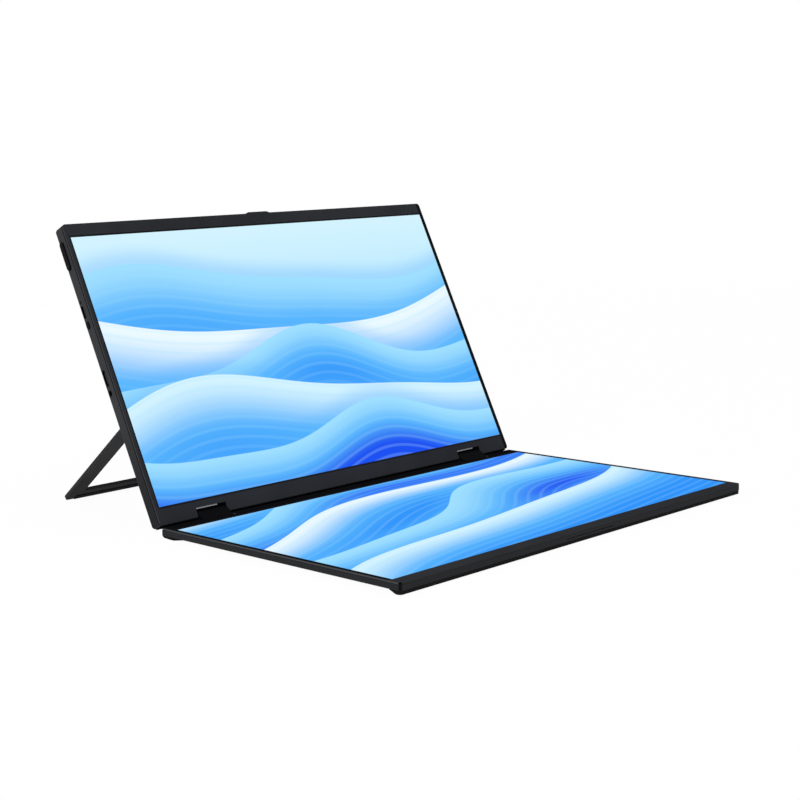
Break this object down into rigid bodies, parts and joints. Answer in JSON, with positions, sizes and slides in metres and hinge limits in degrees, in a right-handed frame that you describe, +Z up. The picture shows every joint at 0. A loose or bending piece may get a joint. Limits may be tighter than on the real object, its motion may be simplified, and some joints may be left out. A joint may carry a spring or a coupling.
{
  "type": "portable monitor",
  "caption": "Folding portable monitor: a flat lower screen, a leaning upper screen on link hinges, a splayed U stand, side sockets and a rocker key",
  "frame": {"origin": "On the table, under the middle of the object's footprint", "axes": "+X to the viewer's right along the hinge line, +Y from the lower screen's front edge to the stand, +Z up"},
  "size_m": [0.3528, 0.3676, 0.2039],
  "materials": {
    "cover": "satin dark grey coating",
    "bezel": "fine matte",
    "screen_glass": "anti-glare",
    "clear_plastic": "clear",
    "steel": "plain steel",
    "led_white": "white",
    "circuit_board": "lacquered",
    "flat_cable": "amber film",
    "black_steel": "black satin",
    "screw_steel": "black oxide",
    "foot_rubber": "matte",
    "black_plastic": "matte",
    "key_plastic": "satin",
    "stand_metal": "satin dark grey coating"
  },
  "bodies": {
    "lower_panel": {"lower_back_cover": "cover", "lower_front_bezel": "bezel", "lower_screen_panel": "screen_glass", "lower_light_guide": "clear_plastic", "lower_backlight_tray": "steel", "lower_led_bar": "led_white", "lower_driver_board": "circuit_board", "lower_ribbon_cables": "flat_cable", "lower_hinge_brackets": "black_steel", "lower_hinge_pins": "steel", "lower_bracket_screws": "screw_steel", "lower_case_screws": "screw_steel", "front_foot_strip": "foot_rubber", "rear_foot_strip": "foot_rubber"},
    "hinge_links": {"left_hinge_link": "black_steel", "right_hinge_link": "black_steel"},
    "upper_panel": {"upper_back_cover": "cover", "upper_front_bezel": "bezel", "upper_screen_panel": "screen_glass", "upper_light_guide": "clear_plastic", "upper_backlight_tray": "steel", "upper_led_bar": "led_white", "upper_driver_board": "circuit_board", "upper_ribbon_cables": "flat_cable", "upper_hinge_brackets": "black_steel", "upper_hinge_pins": "steel", "upper_bracket_screws": "screw_steel", "upper_case_screws": "screw_steel", "hinge_trim_plates": "steel", "main_board": "circuit_board", "main_board_chips": "black_plastic", "board_screws": "screw_steel", "link_cable": "flat_cable", "usb_c_socket": "steel", "mini_hdmi_socket": "steel", "audio_jack": "black_plastic", "status_light": "clear_plastic", "power_switch": "black_plastic", "rocker_pin": "steel", "rocker_bracket": "black_steel", "rocker_bracket_screw": "screw_steel", "rocker_switches": "black_plastic", "speakers": "black_plastic"},
    "stand": {"stand_frame": "stand_metal", "stand_foot": "foot_rubber", "stand_pins": "steel"},
    "rocker_key": {"menu_rocker": "key_plastic"},
    "power_key": {"power_button": "key_plastic"}
  },
  "joints": [
    {"name": "lower_fold", "type": "hinge", "parent": "lower_panel", "child": "hinge_links", "pos_m": [0, 0.03008, 0.00475], "axis": [-1, 0, 0], "range_deg": [-57.85, 32.14]},
    {"name": "upper_fold", "type": "hinge", "parent": "hinge_links", "child": "upper_panel", "pos_m": [0, 0.03669, 0.0089], "axis": [-1, 0, 0], "range_deg": [-57.85, 32.14]},
    {"name": "stand_swing", "type": "hinge", "parent": "upper_panel", "child": "stand", "pos_m": [0, 0.07561, 0.07728], "axis": [1, 0, 0], "range_deg": [0, 99.28]},
    {"name": "rocker_tilt", "type": "hinge", "parent": "upper_panel", "child": "rocker_key", "pos_m": [-0.1726, 0.12372, 0.18141], "axis": [0, -0.9009, 0.4339], "range_deg": [-2.5, 2.5], "stiffness_Nm_per_rad": 0.3},
    {"name": "power_press", "type": "slide", "parent": "upper_panel", "child": "power_key", "axis": [1, 0, 0], "range_m": [0, 0.0005], "stiffness_N_per_m": 3000}
  ],
  "couplings": [
    {"joint": "upper_fold", "follows": "lower_fold", "ratio": 1}
  ]
}
